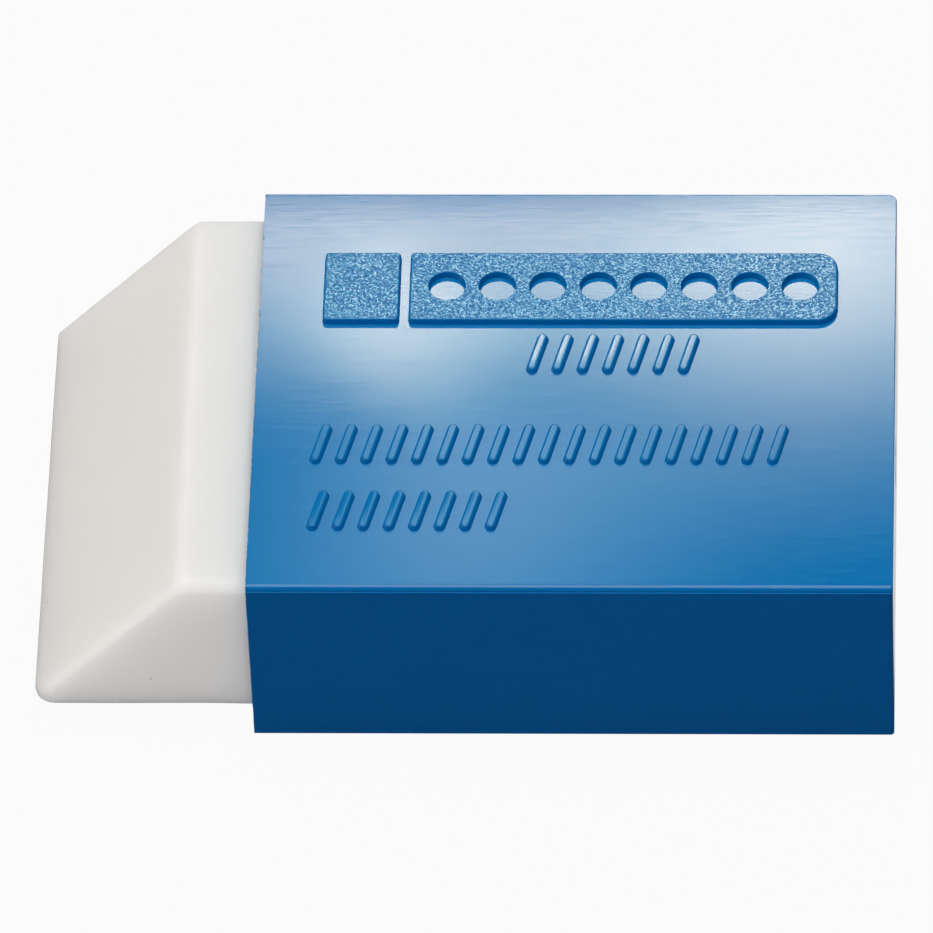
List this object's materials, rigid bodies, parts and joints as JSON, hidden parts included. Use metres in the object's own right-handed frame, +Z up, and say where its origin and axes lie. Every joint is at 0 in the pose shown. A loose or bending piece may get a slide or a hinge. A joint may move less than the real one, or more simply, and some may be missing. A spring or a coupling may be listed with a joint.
{
  "type": "rubber eraser in moulded holder",
  "caption": "White soft block with a full-width bevelled rubbing end, held in a stiff glossy blue moulded holder that it slides out of as it wears.",
  "frame": {"origin": "middle of the whole part's length and width, on the plane that it rests on", "axes": "+X towards the holder's closed end, -X the way the block comes out, +Y towards the edge that the raised panel is near, +Z up"},
  "size_m": [0.0578, 0.0356, 0.0155],
  "materials": {
    "holder_plastic": "glossy moulded, with fine polishing lines and a grained raised panel",
    "block_vinyl": "soft matte, slightly translucent"
  },
  "bodies": {
    "holder": {"holder": "holder_plastic"},
    "block": {"eraser_block": "block_vinyl"}
  },
  "joints": [
    {"name": "block_slide", "type": "slide", "parent": "holder", "child": "block", "axis": [-1, 0, 0], "range_m": [0, 0.04]}
  ]
}
